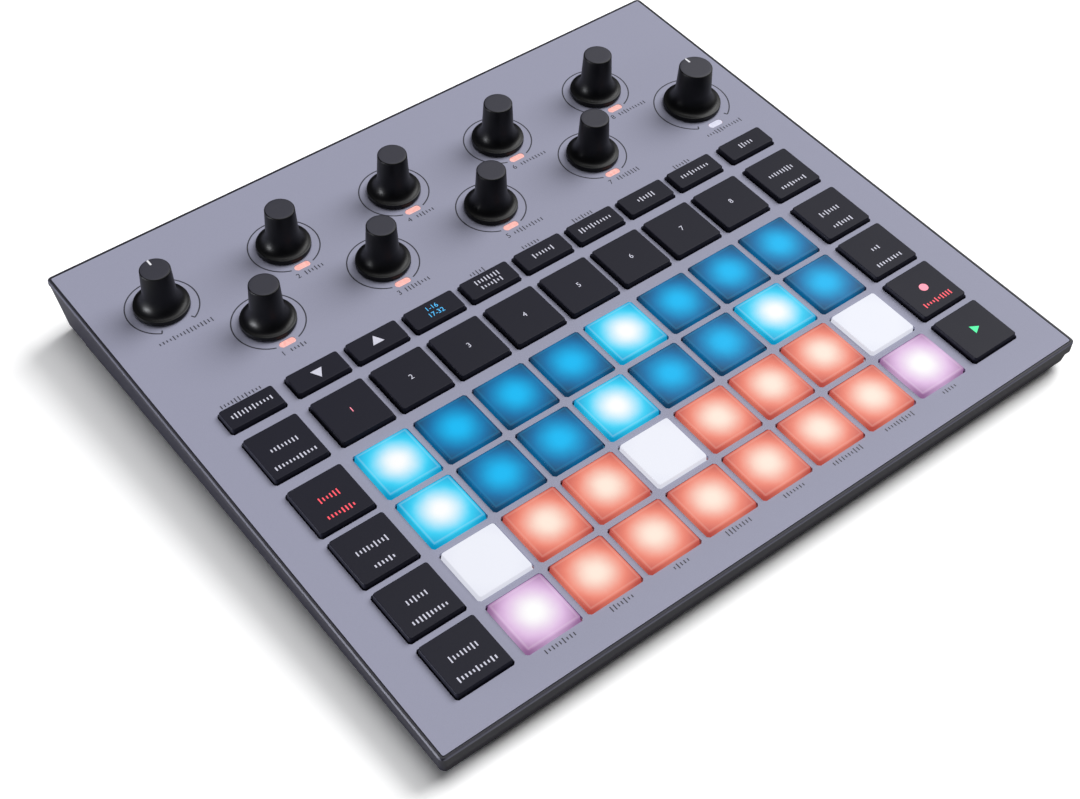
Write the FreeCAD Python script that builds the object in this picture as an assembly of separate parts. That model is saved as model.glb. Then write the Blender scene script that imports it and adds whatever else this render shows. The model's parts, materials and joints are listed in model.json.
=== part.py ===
"""Grid drum machine: wedge-shaped case, tilted panel, lit pads, keys and knobs.

Millimetres and degrees. Most pieces are drawn in the panel's own frame, where z = 0 is
the panel's top face, +x is to the right and +y to the back. The panel frame is then
tilted and raised above the table. Pieces that follow the underside are drawn upright.
"""
import FreeCAD, Part
import math
import os

V = FreeCAD.Vector

# Case
body_width = 240.0
body_depth = 210.0
corner_radius = 1.8
least_radius = 0.3
rear_height = 19.5
panel_tilt = 3.0
side_draft = 7.2
wall = 2.0
floor_thickness = 2.0
band_rear = 1.6
band_front = 4.0
rim_width = 1.0
rim_bevel = 0.4
panel_gap = 0.25
panel_thickness = 1.0
deck_thickness = 1.6
deck_inset = 0.45
quarter_turn = 90.0

# Feet
foot_height = 3.0
foot_width = 9.0
foot_length = 24.0

# Grid of pads and keys. The gaps and margins are set, and the caps share what is left.
columns = 8
pad_rows = 4
cap_gap = 2.6
key_gap = 2.8
side_margin = 13.7
side_gap = 1.6
front_margin = 12.0
track_gap = 2.0
top_key_gap = 4.5
top_key_depth = 8.8
front_knob_gap = 27.5
knob_row_gap = 3.4
rear_margin = 31.7
pad_proud = 1.0
pad_travel = 0.5
key_proud = 1.8
key_travel = 0.8
cap_radius = 0.9
cap_lean = 0.25
cap_clearance = 0.35
flange_lip = 0.6
flange_thickness = 0.6

# Knobs
knob_columns = 10
knob_sides = 24
knob_height = 16.2
knob_lift = 0.4
grip_taper = 0.5
flare_top = 7.0
flare_bottom = 1.9
flare_steps = 3
skirt_bevel = 0.2
skirt_edge = 1.3
macro_grip_radius = 4.8
macro_skirt_radius = 8.8
filter_grip_radius = 5.7
filter_skirt_radius = 9.9
spindle_radius = 3.0
spindle_depth = 4.0
spindle_sides = 6
spindle_clearance = 0.05
spindle_hole_margin = 0.4
encoder_width = 12.0
encoder_height = 5.6
encoder_gap = 0.3

# Lamps below the knobs
lamp_length = 5.4
lamp_width = 2.3
lamp_sink = 0.2
lamp_lip = 0.4
lamp_clearance = 0.08
lamp_hole_clearance = 0.2
lamp_margin = 1.9
filter_lamp_margin = 2.6

# Boards, mat and battery
mat_gap = 0.1
mat_thickness = 0.5
board_thickness = 1.2
board_margin = 1.0
knob_board_thickness = 1.4
knob_board_front_margin = 15.7
knob_board_spine_margin = 9.3
knob_board_back_margin = 8.7
knob_board_side_margin = 12.0
knob_tab_width = 16.0
knob_boss_width = 4.6
knob_boss_inset = 2.8
knob_boss_setback = 3.7
main_board_thickness = 1.4
main_board_standoff = 0.8
main_board_depth = 35.0
main_board_gap = 0.6
main_board_side_gap = 4.1
standoff_width = 6.0
standoff_inset = 10.0
standoff_setback = 4.0
boss_width = 2.6
boss_clearance = 0.3
battery_length = 110.0
battery_width = 37.0
battery_height = 5.0
battery_gap = 2.0

# Case screws and the posts they go through
screw_head_width = 5.2
screw_head_height = 1.5
screw_head_clearance = 0.3
screw_shank_width = 2.2
shank_hole_margin = 0.2
case_post_width = 6.6
top_post_width = 6.0
case_post_side_inset = 7.6
case_post_front_inset = 17.0
case_post_rear_inset = 21.0
case_joint_depth = 5.2
case_thread = 2.2

# Sockets at the back. Steps are places across, counted in columns of the grid.
line_jack_steps = (-3.5, -1.5, 0.5, 2.5)
line_jack_width = 15.0
line_jack_height = 10.6
line_jack_depth = 30.0
line_jack_bore = 3.25
line_jack_end = 1.5
single_jack_step = -2.5
paired_jack_steps = (-0.5, 1.5)
paired_jack_spacing = 12.0
mini_jack_width = 7.0
mini_jack_height = 6.0
mini_jack_depth = 12.0
mini_jack_bore = 1.8
mini_jack_end = 1.0
socket_margin = 0.3
socket_setback = 0.3
usb_step = 4.1
usb_width = 9.0
usb_height = 3.3
usb_depth = 8.0
usb_shell = 0.35
usb_tongue = 0.7
usb_back = 0.8
card_step = 3.35
card_width = 14.0
card_height = 2.2
card_depth = 15.0
card_slot_width = 11.4
card_slot_height = 0.9
power_step = 4.75
power_cap_width = 7.0
power_cap_height = 4.6
power_cap_proud = 1.2
power_cap_lip = 0.8
power_travel = 1.0
power_cap_bevel = 0.4
power_switch_gap = 0.1
power_clearance = 0.25
power_switch_depth = 6.0
power_switch_height = 5.0
lock_slot_inset = 16.0
lock_slot_width = 7.0
lock_slot_height = 3.0

tilt = math.radians(panel_tilt)
rear_edge = body_depth / 2
front_height = rear_height - body_depth * math.tan(tilt)
far = body_width
panel_centre = foot_height - rear_edge * math.sin(tilt) + rear_height * math.cos(tilt)
panel_frame = FreeCAD.Placement(V(0, 0, panel_centre), FreeCAD.Rotation(V(1, 0, 0), panel_tilt))

deck_bottom = -panel_thickness - deck_thickness
flange_bottom = deck_bottom - flange_thickness
mat_top = flange_bottom - max(key_travel, pad_travel) - mat_gap
board_top = mat_top - mat_thickness
board_bottom = board_top - board_thickness
encoder_top = deck_bottom - encoder_gap
knob_board_top = encoder_top - encoder_height
knob_board_bottom = knob_board_top - knob_board_thickness

floor_top = foot_height + floor_thickness
main_board_bottom = floor_top + main_board_standoff
main_board_top = main_board_bottom + main_board_thickness
screw_seat = foot_height + screw_head_height
case_post_x = body_width / 2 - case_post_side_inset
main_board_half_width = case_post_x - case_post_width / 2 - main_board_side_gap

pitch = (body_width / 2 - side_margin - side_gap + cap_gap / 2) / (columns / 2 + 1)
fixed_depth = front_margin + track_gap + top_key_gap + front_knob_gap + knob_row_gap + rear_margin
fixed_depth += (top_key_depth - cap_gap - key_gap) / 2
row_pitch = (body_depth - fixed_depth) / (pad_rows + 2)
cap_width = pitch - cap_gap
pad_depth = row_pitch - cap_gap
key_depth = row_pitch - key_gap
side_column = (columns + 1) / 2 * pitch + side_gap
first_pad_row = front_margin + pad_depth / 2 - rear_edge + (pad_rows - 1) * row_pitch
track_row = first_pad_row + row_pitch + track_gap
top_row = track_row + (key_depth + top_key_depth) / 2 + top_key_gap
front_knob_row = top_row + front_knob_gap
back_knob_row = front_knob_row + row_pitch + knob_row_gap

knob_board_half_width = side_column + knob_board_side_margin
knob_board_front = front_knob_row - knob_board_front_margin
knob_board_spine = front_knob_row + knob_board_spine_margin
knob_board_back = back_knob_row + knob_board_back_margin
battery_centre_y = knob_board_front - battery_gap - battery_width / 2
line_jack_columns = [step * pitch for step in line_jack_steps]
mini_jack_columns = [single_jack_step * pitch]
for step in paired_jack_steps:
    mini_jack_columns.append(step * pitch - paired_jack_spacing / 2)
    mini_jack_columns.append(step * pitch + paired_jack_spacing / 2)
usb_x = usb_step * pitch
card_x = card_step * pitch
power_x = power_step * pitch
lock_slot_x = lock_slot_inset - body_width / 2


def below_panel(y, depth):
    """Height above the table of a level that lies a depth under the panel's face."""
    return panel_centre + y * math.tan(tilt) - depth / math.cos(tilt)


def rear_wall_y(height, inset=0.0):
    """Where the leaning rear wall stands at a height above the table."""
    lean = math.tan(math.radians(side_draft))
    edge = rear_edge - inset
    drop = panel_centre + edge * math.sin(tilt) - height
    depth = drop / (math.cos(tilt) + lean * math.sin(tilt))
    return (edge - depth * lean) * math.cos(tilt) + depth * math.sin(tilt)


def on_panel(shape):
    """Carry a piece from the panel's frame to the upright frame."""
    moved = shape.copy()
    moved.Placement = panel_frame.multiply(moved.Placement)
    return moved


def shifted(shape, x=0.0, y=0.0, z=0.0):
    moved = shape.copy()
    moved.Placement = FreeCAD.Placement(V(x, y, z), FreeCAD.Rotation()).multiply(moved.Placement)
    return moved


def block(x_size, y_size, z_low, z_high, x=0.0, y=0.0):
    corner = V(x - x_size / 2, y - y_size / 2, z_low)
    return Part.makeBox(x_size, y_size, z_high - z_low, corner)


def y_block(x_size, z_size, x, z, y_low, y_high):
    corner = V(x - x_size / 2, y_low, z - z_size / 2)
    return Part.makeBox(x_size, y_high - y_low, z_size, corner)


def round_outline(x_size, y_size, radius, z):
    """Closed outline of a rectangle with round corners."""
    cx = x_size / 2 - radius
    cy = y_size / 2 - radius
    arcs = []
    for index, (x, y) in enumerate(((cx, cy), (-cx, cy), (-cx, -cy), (cx, -cy))):
        start = quarter_turn * index
        end = start + quarter_turn
        arcs.append(Part.makeCircle(radius, V(x, y, z), V(0, 0, 1), start, end))
    edges = []
    for index, arc in enumerate(arcs):
        following = arcs[(index + 1) % 4]
        edges.append(arc)
        edges.append(Part.makeLine(arc.lastVertex().Point, following.firstVertex().Point))
    return Part.Wire(edges)


def cut_corners(x_size, y_size, radius, z):
    """Points of a rectangle whose round corners are drawn as flats that touch their arcs."""
    cut = radius * (2 - math.sqrt(2))
    hx = x_size / 2
    hy = y_size / 2
    points = []
    for sx, sy in ((1, 1), (-1, 1), (-1, -1), (1, -1)):
        pair = [V(sx * hx, sy * (hy - cut), z), V(sx * (hx - cut), sy * hy, z)]
        points += pair if sx == sy else pair[::-1]
    return points


def ring(radius, sides, z):
    """Points of a regular outline round the upright axis."""
    points = []
    for side in range(sides):
        angle = 2 * math.pi * side / sides
        points.append(V(radius * math.cos(angle), radius * math.sin(angle), z))
    return points


def closed(points):
    return Part.makePolygon(points + points[:1])


def cut_outline(x_size, y_size, radius, z):
    return closed(cut_corners(x_size, y_size, radius, z))


def stacked(loops):
    """Solid of flat faces through outlines that have as many points each."""
    faces = [Part.Face(closed(loops[0])), Part.Face(closed(loops[-1]))]
    for low, high in zip(loops, loops[1:]):
        for index in range(len(low)):
            after = (index + 1) % len(low)
            faces.append(Part.Face(closed([low[index], low[after], high[after], high[index]])))
    solid = Part.makeSolid(Part.makeShell(faces))
    return solid if solid.Volume > 0 else solid.reversed()


def extruded(outline, height, x=0.0, y=0.0):
    return shifted(Part.Face(outline).extrude(V(0, 0, height)), x, y)


def round_block(x_size, y_size, radius, z_low, z_high):
    return extruded(round_outline(x_size, y_size, radius, z_low), z_high - z_low)


def cut_block(x_size, y_size, radius, z_low, z_high, x=0.0, y=0.0):
    return extruded(cut_outline(x_size, y_size, radius, z_low), z_high - z_low, x, y)


def under_slope(depth_rear, depth_front):
    """Everything under a sloping plane, given by its depths at the rear and front edges."""
    fall = (depth_rear - depth_front) / body_depth
    beyond = (far - body_depth / 2) * fall
    corners = [
        V(-far, -far, beyond - depth_front),
        V(-far, far, -beyond - depth_rear),
        V(-far, far, -far),
        V(-far, -far, -far),
    ]
    return Part.Face(closed(corners)).extrude(V(2 * far, 0, 0))


def inner_radius(inset):
    """Radius of the case's corner at an inset from its outer face."""
    return max(corner_radius - inset, least_radius)


def leaning_block(inset, outline):
    """The case's outer form, drawn in by the draft on its way down, less an inset."""
    drop = 2 * rear_height
    lean = drop * math.tan(math.radians(side_draft))
    x_size = body_width - 2 * inset
    y_size = body_depth - 2 * inset
    radius = inner_radius(inset)
    top = outline(x_size, y_size, radius, 0.0)
    low = outline(x_size - 2 * lean, y_size - 2 * lean, radius, -drop)
    return Part.makeLoft([top, low], True, True)


def pad_column(index):
    return (index - (columns - 1) / 2) * pitch


def pad_row(index):
    return first_pad_row - index * row_pitch


def knob_places():
    """Name, place, grip radius and skirt radius of each knob, on two staggered rows."""
    places = []
    for index in range(knob_columns):
        y = front_knob_row if index % 2 else back_knob_row
        if index == 0:
            places.append(("volume_knob", -side_column, y, macro_grip_radius, macro_skirt_radius))
        elif index == knob_columns - 1:
            places.append(("filter_knob", side_column, y, filter_grip_radius, filter_skirt_radius))
        else:
            x = pad_column(index - 1)
            places.append(("macro_knob_%d" % index, x, y, macro_grip_radius, macro_skirt_radius))
    return places


def lamp_places():
    """One lamp in front of each knob but the volume knob."""
    places = []
    for name, x, y, grip, skirt in knob_places()[1:]:
        margin = filter_lamp_margin if name == "filter_knob" else lamp_margin
        places.append((x, y - skirt - margin))
    return places


def key_places():
    """Name, centre and size of every key."""
    places = []
    across = [-side_column] + [pad_column(i) for i in range(columns)] + [side_column]
    for index, x in enumerate(across):
        places.append(("top_key_%d" % (index + 1), x, top_row, cap_width, top_key_depth))
    for index in range(columns):
        name = "track_key_%d" % (index + 1)
        places.append((name, pad_column(index), track_row, cap_width, key_depth))
    for side, x in (("left", -side_column), ("right", side_column)):
        rows = [track_row] + [pad_row(i) for i in range(pad_rows)]
        for index, y in enumerate(rows):
            places.append(("%s_key_%d" % (side, index + 1), x, y, cap_width, key_depth))
    return places


def cap_places():
    """Centre and size of every key and every pad."""
    places = [(x, y, x_size, y_size) for name, x, y, x_size, y_size in key_places()]
    for row in range(pad_rows):
        places += [(pad_column(c), pad_row(row), cap_width, pad_depth) for c in range(columns)]
    return places


def board_boss_points():
    """Bosses in the free strips behind and in front of the track keys and before the grid."""
    x = (side_column + pad_column(columns - 1)) / 2
    behind = (track_row + key_depth / 2 + top_row - top_key_depth / 2) / 2
    between = (track_row - key_depth / 2 + pad_row(0) + pad_depth / 2) / 2
    before = pad_row(pad_rows - 1) - pad_depth / 2 - flange_lip - boss_width
    return [(bx, by) for by in (behind, between, before) for bx in (-x, 0.0, x)]


def case_post_points():
    rows = (case_post_front_inset - rear_edge, rear_edge - case_post_rear_inset)
    return [(side * case_post_x, y) for y in rows for side in (-1, 1)]


def case_joint(y):
    return below_panel(y, case_joint_depth)


def main_board_back():
    return rear_wall_y(main_board_bottom, wall) - main_board_gap


def standoff_points():
    """Posts under the front edge of the main board."""
    end = main_board_half_width - standoff_inset
    y = main_board_back() - main_board_depth + standoff_setback
    return [(x, y) for x in (-end, pad_column(2), pad_column(5), end)]


def knob_boss_points():
    """Bosses on the front strip of the knob board, clear of its encoders."""
    end = knob_board_half_width - knob_boss_inset
    y = front_knob_row - knob_boss_setback
    return [(x, y) for x in (-end, pad_column(1), pad_column(5), end)]


def sockets():
    """Place, size across and size up of everything that opens through the rear wall."""
    places = [(x, line_jack_width, line_jack_height) for x in line_jack_columns]
    places += [(x, mini_jack_width, mini_jack_height) for x in mini_jack_columns]
    places.append((usb_x, usb_width, usb_height))
    places.append((card_x, card_width, card_height))
    return places


def socket_front():
    """Face of a socket that stands on the main board and fills its opening."""
    return rear_wall_y(main_board_top) - socket_setback


def power_axis():
    return main_board_top + power_switch_height / 2


def power_inner_face():
    return rear_wall_y(power_axis() - power_cap_height, wall) - power_clearance


def rear_holes():
    """Openings in the rear wall: the sockets, the power button and the lock slot."""
    low = rear_edge - 3 * wall
    high = rear_edge + wall
    grow = 2 * socket_margin
    holes = []
    for x, x_size, z_size in sockets():
        z = main_board_top + z_size / 2
        holes.append(y_block(x_size + grow, z_size + grow, x, z, low, high))
    cap_x = power_cap_width + 2 * power_clearance
    cap_z = power_cap_height + 2 * power_clearance
    holes.append(y_block(cap_x, cap_z, power_x, power_axis(), low, high))
    lock_z = main_board_top + line_jack_height / 2
    holes.append(y_block(lock_slot_width, lock_slot_height, lock_slot_x, lock_z, low, high))
    return holes


def bottom_shell():
    """Lower casing: leaning walls, flat floor, posts, and the openings at the back."""
    outer = leaning_block(0.0, round_outline).common(under_slope(band_rear, band_front))
    outer = outer.cut(under_slope(rear_height, front_height))
    drop = floor_thickness / math.cos(tilt)
    room = leaning_block(wall, cut_outline)
    room = room.cut(under_slope(rear_height - drop, front_height - drop))
    shell = on_panel(outer.cut(room))
    posts = []
    holes = rear_holes()
    for x, y in case_post_points():
        width = screw_shank_width + 2 * shank_hole_margin
        posts.append(block(case_post_width, case_post_width, floor_top, case_joint(y), x, y))
        holes.append(block(width, width, 0.0, case_joint(y) + 1.0, x, y))
        width = screw_head_width + 2 * screw_head_clearance
        holes.append(cut_block(width, width, width / 2, 0.0, screw_seat, x, y))
    for x, y in standoff_points():
        posts.append(block(standoff_width, standoff_width, floor_top, main_board_bottom, x, y))
    return shell.fuse(posts).cut(holes).removeSplitter()


def knob_and_lamp_holes(lamp_hole):
    """Cutters for the knob spindles and the lamps, through the panel and the deck."""
    width = 2 * (spindle_radius + spindle_hole_margin)
    cutters = []
    for name, x, y, grip, skirt in knob_places():
        cutters.append(block(width, width, deck_bottom - 1, 1.0, x, y))
    for x, y in lamp_places():
        cutters.append(shifted(lamp_hole, x, y))
    return cutters


def lamp_window(clearance, low, high):
    """Pill-shaped block, of the lamp's size with a clearance all round."""
    length = lamp_length + 2 * clearance
    width = lamp_width + 2 * clearance
    return cut_block(length, width, width / 2, low, high)


def faceplate():
    """Thin panel with a close opening for every key, pad and lamp."""
    inset = rim_width + panel_gap
    x_size = body_width - 2 * inset
    y_size = body_depth - 2 * inset
    plate = round_block(x_size, y_size, inner_radius(inset), -panel_thickness, 0.0)
    low = -2 * panel_thickness
    lamp_hole = lamp_window(lamp_clearance, low, panel_thickness)
    cutters = knob_and_lamp_holes(lamp_hole)
    grow = 2 * cap_clearance
    for x, y, x_cap, y_cap in cap_places():
        radius = cap_radius + cap_clearance
        high = panel_thickness
        cutters.append(cut_block(x_cap + grow, y_cap + grow, radius, low, high, x, y))
    return on_panel(plate.cut(cutters))


def deck_slots():
    """Slots in the deck: one for each whole row of the grid, one for each side key."""
    grow = 2 * cap_clearance
    width = (columns - 1) * pitch + cap_width + grow
    rows = [(track_row, key_depth)] + [(pad_row(i), pad_depth) for i in range(pad_rows)]
    slots = []
    for y, depth in rows:
        slots.append(block(width, depth + grow, deck_bottom - 1, 1.0, 0.0, y))
    for name, x, y, x_cap, y_cap in key_places():
        if abs(x) > pad_column(columns - 1):
            slots.append(block(x_cap + grow, y_cap + grow, deck_bottom - 1, 1.0, x, y))
    slots.append(block(width, top_key_depth + grow, deck_bottom - 1, 1.0, 0.0, top_row))
    return slots


def top_case():
    """Frame round the panel, with the deck under it and the bosses for the boards."""
    frame = round_block(body_width, body_depth, corner_radius, -2 * band_front, 0.0)
    rim = [e for e in frame.Edges if e.BoundBox.ZMin > -0.01]
    frame = frame.makeChamfer(rim_bevel, rim)
    frame = frame.cut(under_slope(band_rear, band_front))
    pocket_x = body_width - 2 * rim_width
    pocket_y = body_depth - 2 * rim_width
    radius = inner_radius(rim_width)
    pocket = round_block(pocket_x, pocket_y, radius, -panel_thickness, 1.0)
    room_x = body_width - 2 * (wall + deck_inset)
    room_y = body_depth - 2 * (wall + deck_inset)
    room = block(room_x, room_y, -3 * band_front, deck_bottom)
    deck = block(room_x, room_y, deck_bottom, -panel_thickness)
    frame = frame.cut([pocket, room]).fuse(deck)
    bosses = []
    for x, y in board_boss_points():
        bosses.append(block(boss_width, boss_width, board_top, deck_bottom, x, y))
    for x, y in knob_boss_points():
        width = knob_boss_width
        bosses.append(block(width, width, knob_board_top, deck_bottom, x, y))
    lamp_x = lamp_length + 2 * (lamp_lip + lamp_hole_clearance)
    lamp_y = lamp_width + 2 * (lamp_lip + lamp_hole_clearance)
    lamp_hole = block(lamp_x, lamp_y, deck_bottom - 1, 0.0)
    frame = frame.fuse(bosses).cut(deck_slots() + knob_and_lamp_holes(lamp_hole))
    return add_case_posts(on_panel(frame)).removeSplitter()


def add_case_posts(frame):
    """Posts that meet the lower casing's posts and take the case screws."""
    posts = []
    pilots = []
    width = screw_shank_width
    for x, y in case_post_points():
        root = below_panel(y, panel_thickness + deck_thickness / 2)
        posts.append(block(top_post_width, top_post_width, case_joint(y), root, x, y))
        top = case_joint(y) + case_thread
        pilots.append(block(width, width, case_joint(y) - 1, top, x, y))
    return frame.fuse(posts).cut(pilots)


def cap(x_size, y_size, proud):
    """Key cap with a slight lean, and the flange that keeps it under the deck."""
    low = cut_corners(x_size, y_size, cap_radius, deck_bottom)
    high = cut_corners(x_size - 2 * cap_lean, y_size - 2 * cap_lean, cap_radius, proud)
    body = stacked([low, high])
    lip = 2 * flange_lip
    flange = block(x_size + lip, y_size + lip, flange_bottom, deck_bottom)
    return body.fuse(flange)


def keys():
    """All keys by name; keys of one size are copies of one cap."""
    made = {}
    shapes = {}
    for name, x, y, x_size, y_size in key_places():
        if y_size not in made:
            made[y_size] = cap(x_size, y_size, key_proud)
        shapes[name] = on_panel(shifted(made[y_size], x, y))
    return shapes


def pads():
    """The pads of each row, which share one node."""
    one = cap(cap_width, pad_depth, pad_proud)
    shapes = {}
    for row in range(pad_rows):
        row_pads = [shifted(one, pad_column(c), pad_row(row)) for c in range(columns)]
        shapes["pad_row_%d" % (row + 1)] = on_panel(Part.makeCompound(row_pads))
    return shapes


def knob_levels(grip, skirt):
    """Radius and height of each level of a knob: tapered grip, hollow flare, thin skirt."""
    neck = grip + grip_taper
    lip = skirt - skirt_bevel
    levels = [(grip, knob_height)]
    for step in range(flare_steps + 1):
        angle = math.radians(quarter_turn) * step / flare_steps
        radius = lip - (lip - neck) * math.cos(angle)
        levels.append((radius, flare_top - (flare_top - flare_bottom) * math.sin(angle)))
    return levels + [(skirt, skirt_edge), (skirt, knob_lift)]


def knob(grip, skirt):
    """Knob drawn with flats all round, on a spindle that reaches down into its encoder."""
    body = stacked([ring(r, knob_sides, z) for r, z in knob_levels(grip, skirt)])
    tip = encoder_top - spindle_depth
    spindle = stacked([ring(spindle_radius, spindle_sides, z) for z in (tip, knob_lift)])
    return body.fuse(spindle)


def knobs():
    made = {}
    shapes = {}
    for name, x, y, grip, skirt in knob_places():
        if grip not in made:
            made[grip] = knob(grip, skirt)
        shapes[name] = on_panel(shifted(made[grip], x, y))
    return shapes


def knob_encoders():
    """Encoder and potentiometer bodies, each with the well that its spindle turns in."""
    width = 2 * (spindle_radius + spindle_clearance)
    low = encoder_top - spindle_depth - spindle_clearance
    bodies = []
    for name, x, y, grip, skirt in knob_places():
        body = block(encoder_width, encoder_width, knob_board_top, encoder_top, x, y)
        bodies.append(body.cut(block(width, width, low, encoder_top + 1, x, y)))
    return on_panel(Part.makeCompound(bodies))


def light_pipes():
    """Clear blocks on the knob board, each with a nose that fills its window."""
    x_size = lamp_length + 2 * lamp_lip
    y_size = lamp_width + 2 * lamp_lip
    nose = lamp_window(0.0, -panel_thickness, -lamp_sink)
    lamp = block(x_size, y_size, knob_board_top, -panel_thickness).fuse(nose)
    lamps = [shifted(lamp, x, y) for x, y in lamp_places()]
    return on_panel(Part.makeCompound(lamps))


def grid_sheet(low, high):
    """Sheet under all keys and pads, ending just past their flanges."""
    half_x = side_column + cap_width / 2 + flange_lip + board_margin
    back = top_row + top_key_depth / 2 + flange_lip + board_margin
    front = board_boss_points()[-1][1] - boss_width
    return block(2 * half_x, back - front, low, high, 0.0, (back + front) / 2)


def pad_mat():
    """Silicone sheet, open where the bosses reach down to the board."""
    width = boss_width + 2 * boss_clearance
    cutters = []
    for x, y in board_boss_points():
        cutters.append(block(width, width, board_top - 1, mat_top + 1, x, y))
    return on_panel(grid_sheet(board_top, mat_top).cut(cutters))


def pad_board():
    return on_panel(grid_sheet(board_bottom, board_top))


def knob_board():
    """Board with a tab under each back-row knob, cut away where the big sockets lie."""
    depth = knob_board_spine - knob_board_front
    y = (knob_board_spine + knob_board_front) / 2
    low = knob_board_bottom
    board = block(2 * knob_board_half_width, depth, low, knob_board_top, 0.0, y)
    tabs = []
    for name, x, knob_y, grip, skirt in knob_places():
        if knob_y > knob_board_spine:
            depth = knob_board_back - knob_board_front
            y = (knob_board_back + knob_board_front) / 2
            tabs.append(block(knob_tab_width, depth, low, knob_board_top, x, y))
    return on_panel(board.fuse(tabs).removeSplitter())


def main_board():
    x_size = 2 * main_board_half_width
    y = main_board_back() - main_board_depth / 2
    return block(x_size, main_board_depth, main_board_bottom, main_board_top, 0.0, y)


def battery():
    high = floor_top + battery_height
    return block(battery_length, battery_width, floor_top, high, 0.0, battery_centre_y)


def rubber_feet():
    """Oblong feet, stuck on over the case screws."""
    feet = []
    for x, y in case_post_points():
        foot = cut_block(foot_width, foot_length, foot_width / 2, 0.0, foot_height, x, y)
        feet.append(foot)
    return Part.makeCompound(feet)


def screws():
    """Case screws, driven from below and drawn with flats, as the feet hide them."""
    pieces = []
    for x, y in case_post_points():
        width = screw_head_width
        head = cut_block(width, width, width / 2, foot_height, screw_seat, x, y)
        tip = case_joint(y) + case_thread
        shank = block(screw_shank_width, screw_shank_width, screw_seat, tip, x, y)
        pieces.append(head.fuse(shank))
    return Part.makeCompound(pieces)


def jack(x, width, height, depth, bore, end):
    """Socket body on the main board, with a blind bore that faces the back."""
    z = main_board_top + height / 2
    front = socket_front()
    body = y_block(width, height, x, z, front - depth, front)
    length = depth - end + 1
    return body.cut(Part.makeCylinder(bore, length, V(x, front - depth + end, z), V(0, 1, 0)))


def line_jacks():
    size = (line_jack_width, line_jack_height, line_jack_depth, line_jack_bore, line_jack_end)
    return Part.makeCompound([jack(x, *size) for x in line_jack_columns])


def mini_jacks():
    size = (mini_jack_width, mini_jack_height, mini_jack_depth, mini_jack_bore, mini_jack_end)
    return Part.makeCompound([jack(x, *size) for x in mini_jack_columns])


def usb_socket():
    """Flat socket: a thin shell round a tongue."""
    z = main_board_top + usb_height / 2
    front = socket_front()
    back = front - usb_depth
    inner_x = usb_width - 2 * usb_shell
    inner_z = usb_height - 2 * usb_shell
    shell = y_block(usb_width, usb_height, usb_x, z, back, front)
    shell = shell.cut(y_block(inner_x, inner_z, usb_x, z, back + usb_back, front + 1))
    tongue_x = inner_x - 4 * usb_shell
    tongue = y_block(tongue_x, usb_tongue, usb_x, z, back, front - usb_back)
    return shell.fuse(tongue)


def card_socket():
    z = main_board_top + card_height / 2
    front = socket_front()
    back = front - card_depth
    body = y_block(card_width, card_height, card_x, z, back, front)
    return body.cut(y_block(card_slot_width, card_slot_height, card_x, z, back + wall, front + 1))


def power_button():
    """Push button with a lip that stays behind the wall."""
    outer = rear_wall_y(power_axis()) + power_cap_proud
    inner = power_inner_face()
    z = power_axis()
    cap_body = y_block(power_cap_width, power_cap_height, power_x, z, inner, outer)
    face_edges = [e for e in cap_body.Edges if e.BoundBox.YMin > outer - 0.01]
    cap_body = cap_body.makeChamfer(power_cap_bevel, face_edges)
    lip_x = power_cap_width + 2 * power_cap_lip
    lip_z = power_cap_height + power_cap_lip
    lip = y_block(lip_x, lip_z, power_x, z + power_cap_lip / 2, inner - power_cap_lip, inner)
    return cap_body.fuse(lip).removeSplitter()


def power_switch():
    front = power_inner_face() - power_cap_lip - power_travel - power_switch_gap
    back = front - power_switch_depth
    return y_block(power_cap_width, power_switch_height, power_x, power_axis(), back, front)


def all_parts():
    parts = {
        "bottom_shell": bottom_shell(),
        "top_case": top_case(),
        "faceplate": faceplate(),
        "pad_mat": pad_mat(),
        "pad_board": pad_board(),
        "knob_board": knob_board(),
        "main_board": main_board(),
        "knob_encoders": knob_encoders(),
        "light_pipes": light_pipes(),
        "battery": battery(),
        "rubber_feet": rubber_feet(),
        "screws": screws(),
        "line_jacks": line_jacks(),
        "mini_jacks": mini_jacks(),
        "usb_socket": usb_socket(),
        "card_socket": card_socket(),
        "power_switch": power_switch(),
        "power_button": power_button(),
    }
    parts.update(keys())
    parts.update(pads())
    parts.update(knobs())
    return parts


def centring(parts):
    """Shift that brings the middle of the whole footprint to the origin."""
    box = FreeCAD.BoundBox()
    for shape in parts.values():
        box.add(shape.optimalBoundingBox(False, False))
    return V(-box.Center.x, -box.Center.y, -box.ZMin)


def main():
    os.makedirs("parts", exist_ok=True)
    parts = all_parts()
    shift = centring(parts)
    print("shift %.4f %.4f %.4f" % (shift.x, shift.y, shift.z))
    for name, shape in sorted(parts.items()):
        placed = shifted(shape, shift.x, shift.y, shift.z)
        placed.exportStep("parts/%s.step" % name)
        print(name, len(placed.Solids), round(placed.Volume, 1), placed.isValid())


main()
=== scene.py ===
# %% [markdown]
# # A grid drum machine, dressed for a studio photograph
#
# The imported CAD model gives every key, pad, knob and casing in its true place.
# This lesson loads it as a frame, finds the tilted panel in it, and then adds what
# paint, light and print add to the real machine.

# %% Load the frame
import bpy
import json
import math
import random
from mathutils import Matrix, Quaternion, Vector


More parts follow.
